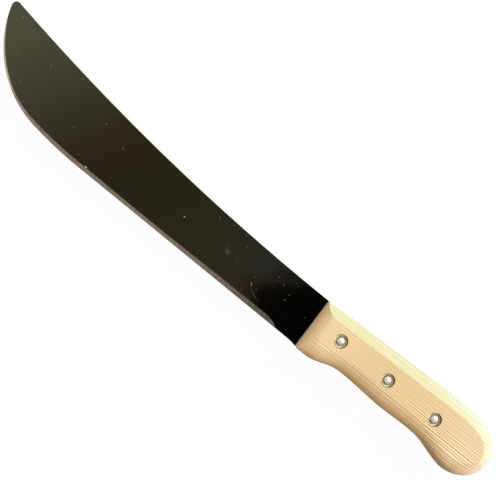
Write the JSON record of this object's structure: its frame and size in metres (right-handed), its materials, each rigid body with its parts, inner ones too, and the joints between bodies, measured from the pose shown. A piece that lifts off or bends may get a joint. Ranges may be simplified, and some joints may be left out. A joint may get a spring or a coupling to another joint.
{
  "type": "machete",
  "caption": "Machete with an upswept black coated sheet steel blade, a ground cutting edge and a riveted wooden grip with a finger groove and a hooked butt.",
  "frame": {"origin": "under the middle of the whole outline, on the surface that the right scale rests on", "axes": "+X along the grip towards the tip, +Y across the blade towards the cutting edge, +Z out of the left scale, square to the sheet"},
  "size_m": [0.4142, 0.0744, 0.023],
  "materials": {
    "black_steel": "gloss black coating over sheet steel, bare where the edge is ground",
    "ash_wood": "pale straight-grained wood, sanded smooth, thin satin lacquer",
    "rivet_metal": "bright, slightly hammered from setting",
    "washer_metal": "dull satin"
  },
  "bodies": {
    "root": {"blade": "black_steel", "left_scale": "ash_wood", "right_scale": "ash_wood", "rivet_front": "rivet_metal", "rivet_middle": "rivet_metal", "rivet_rear": "rivet_metal", "washer_front_left": "washer_metal", "washer_middle_left": "washer_metal", "washer_rear_left": "washer_metal", "washer_front_right": "washer_metal", "washer_middle_right": "washer_metal", "washer_rear_right": "washer_metal"}
  },
  "joints": []
}
